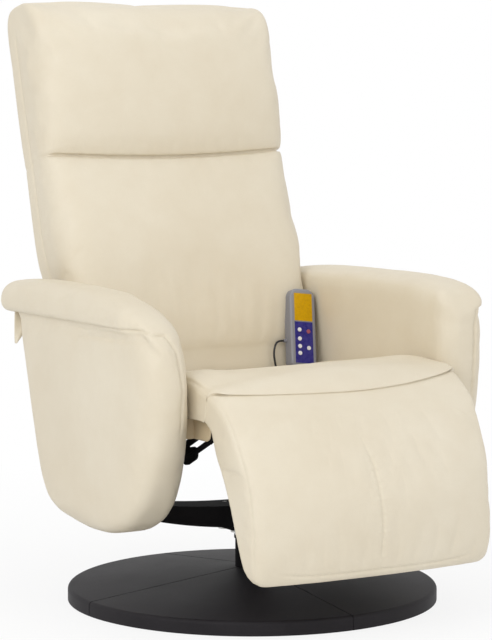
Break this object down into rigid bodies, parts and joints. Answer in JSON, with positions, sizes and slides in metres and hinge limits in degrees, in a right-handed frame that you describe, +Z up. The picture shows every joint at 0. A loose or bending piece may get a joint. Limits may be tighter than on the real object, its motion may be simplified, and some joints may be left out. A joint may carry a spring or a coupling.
{
  "type": "massage recliner",
  "caption": "Cream padded swivel recliner with a folding footrest, padded arms, round black base and a wired massage handset kept in the seat's rear corner.",
  "frame": {"origin": "on the floor at the swivel axis", "axes": "+Z up along the swivel axis, the sitter faces -Y, +X to the viewer's right seen from the front"},
  "size_m": [0.714, 0.9061, 1.082],
  "materials": {
    "cream_leather": "semi-gloss cream faux leather over foam",
    "tan_board": "tan painted side board",
    "black_metal": "satin black paint",
    "base_plastic": "black moulded cover",
    "base_steel": "black painted steel",
    "rubber": "black rubber",
    "zinc_steel": "zinc plated",
    "plywood": "raw plywood",
    "webbing": "woven strap",
    "motor_plastic": "black moulded",
    "handset_grey": "satin grey",
    "amber_window": "amber window",
    "keypad_violet": "blue-violet panel",
    "button_white": "white",
    "button_red": "red",
    "board_green": "green circuit laminate",
    "cord_black": "black jacket"
  },
  "bodies": {
    "base": {"floor_pad": "rubber", "base_plate": "base_steel", "base_cover": "base_plastic", "column": "black_metal", "column_bolts": "zinc_steel", "bearing_lower_race": "zinc_steel", "bearing_balls": "zinc_steel"},
    "chassis": {"bearing_upper_race": "zinc_steel", "swivel_hub": "black_metal", "cross_beam": "black_metal", "beam_bolts": "zinc_steel", "arm_bolts": "zinc_steel", "arm_flaps": "cream_leather", "hinge_pins": "zinc_steel", "seat_cross_tubes": "black_metal", "seat_webbing": "webbing", "seat_motors": "motor_plastic", "seat_cushion": "cream_leather", "control_box": "motor_plastic", "power_inlet": "motor_plastic", "arm_frame_left": "plywood", "arm_frame_right": "plywood", "arm_pad_left": "cream_leather", "arm_pad_right": "cream_leather", "arm_roll_left": "cream_leather", "arm_roll_right": "cream_leather", "seat_rail_left": "black_metal", "seat_rail_right": "black_metal", "seat_side_left": "tan_board", "seat_side_right": "tan_board"},
    "backrest": {"back_frame": "black_metal", "back_crank": "black_metal", "back_shell": "cream_leather", "back_cushion": "cream_leather", "head_cushion": "cream_leather", "back_motors": "motor_plastic", "back_bracket_left": "black_metal", "back_bracket_right": "black_metal"},
    "footrest": {"footrest_cushion": "cream_leather", "footrest_board": "plywood", "footrest_lever": "black_metal", "footrest_bracket_left": "black_metal", "footrest_bracket_right": "black_metal"},
    "stay_left": {"stay_bar_left": "black_metal", "stay_rod_left": "black_metal"},
    "stay_right": {"stay_bar_right": "black_metal", "stay_rod_right": "black_metal"},
    "drive_link": {"drive_rod": "black_metal"},
    "handset": {"handset_front": "handset_grey", "handset_rear": "handset_grey", "handset_screen": "amber_window", "handset_keypad": "keypad_violet", "circuit_board": "board_green", "handset_cord": "cord_black"},
    "key_1": {"button_1": "button_white"},
    "key_2": {"button_2": "button_white"},
    "key_3": {"button_3": "button_white"},
    "key_4": {"button_4": "button_white"},
    "key_5": {"button_5": "button_red"},
    "key_6": {"button_6": "button_white"}
  },
  "joints": [
    {"name": "swivel", "type": "hinge", "parent": "base", "child": "chassis", "pos_m": [0, 0, 0.14], "axis": [0, 0, 1], "continuous": true},
    {"name": "recline", "type": "hinge", "parent": "chassis", "child": "backrest", "pos_m": [0, 0.25, 0.385], "axis": [-1, 0, 0], "range_deg": [0, 35]},
    {"name": "footrest_lift", "type": "hinge", "parent": "chassis", "child": "footrest", "pos_m": [0, -0.258, 0.35], "axis": [-1, 0, 0], "range_deg": [0, 60]},
    {"name": "stay_left_swing", "type": "hinge", "parent": "chassis", "child": "stay_left", "pos_m": [-0.205, -0.035, 0.27], "axis": [1, 0, 0], "range_deg": [0, 12.9]},
    {"name": "stay_right_swing", "type": "hinge", "parent": "chassis", "child": "stay_right", "pos_m": [0.205, -0.035, 0.27], "axis": [1, 0, 0], "range_deg": [0, 12.9]},
    {"name": "drive_rod_swing", "type": "hinge", "parent": "backrest", "child": "drive_link", "pos_m": [0, 0.25, 0.31], "axis": [1, 0, 0], "range_deg": [0, 33.71]},
    {"name": "handset_lift", "type": "slide", "parent": "chassis", "child": "handset", "axis": [0, 0, 1], "range_m": [0, 0.045]},
    {"name": "key_1_press", "type": "slide", "parent": "handset", "child": "key_1", "axis": [0, 0.9659, -0.2588], "range_m": [0, 0.0008], "stiffness_N_per_m": 900, "springref_m": -0.0006},
    {"name": "key_2_press", "type": "slide", "parent": "handset", "child": "key_2", "axis": [0, 0.9659, -0.2588], "range_m": [0, 0.0008], "stiffness_N_per_m": 900, "springref_m": -0.0006},
    {"name": "key_3_press", "type": "slide", "parent": "handset", "child": "key_3", "axis": [0, 0.9659, -0.2588], "range_m": [0, 0.0008], "stiffness_N_per_m": 900, "springref_m": -0.0006},
    {"name": "key_4_press", "type": "slide", "parent": "handset", "child": "key_4", "axis": [0, 0.9659, -0.2588], "range_m": [0, 0.0008], "stiffness_N_per_m": 900, "springref_m": -0.0006},
    {"name": "key_5_press", "type": "slide", "parent": "handset", "child": "key_5", "axis": [0, 0.9659, -0.2588], "range_m": [0, 0.0008], "stiffness_N_per_m": 900, "springref_m": -0.0006},
    {"name": "key_6_press", "type": "slide", "parent": "handset", "child": "key_6", "axis": [0, 0.9659, -0.2588], "range_m": [0, 0.0008], "stiffness_N_per_m": 900, "springref_m": -0.0006}
  ],
  "couplings": [
    {"joint": "footrest_lift", "follows": "recline", "ratio": 1.7143},
    {"joint": "stay_left_swing", "follows": "recline", "ratio": 0.3685},
    {"joint": "stay_right_swing", "follows": "recline", "ratio": 0.3685},
    {"joint": "drive_rod_swing", "follows": "recline", "ratio": 0.963}
  ]
}
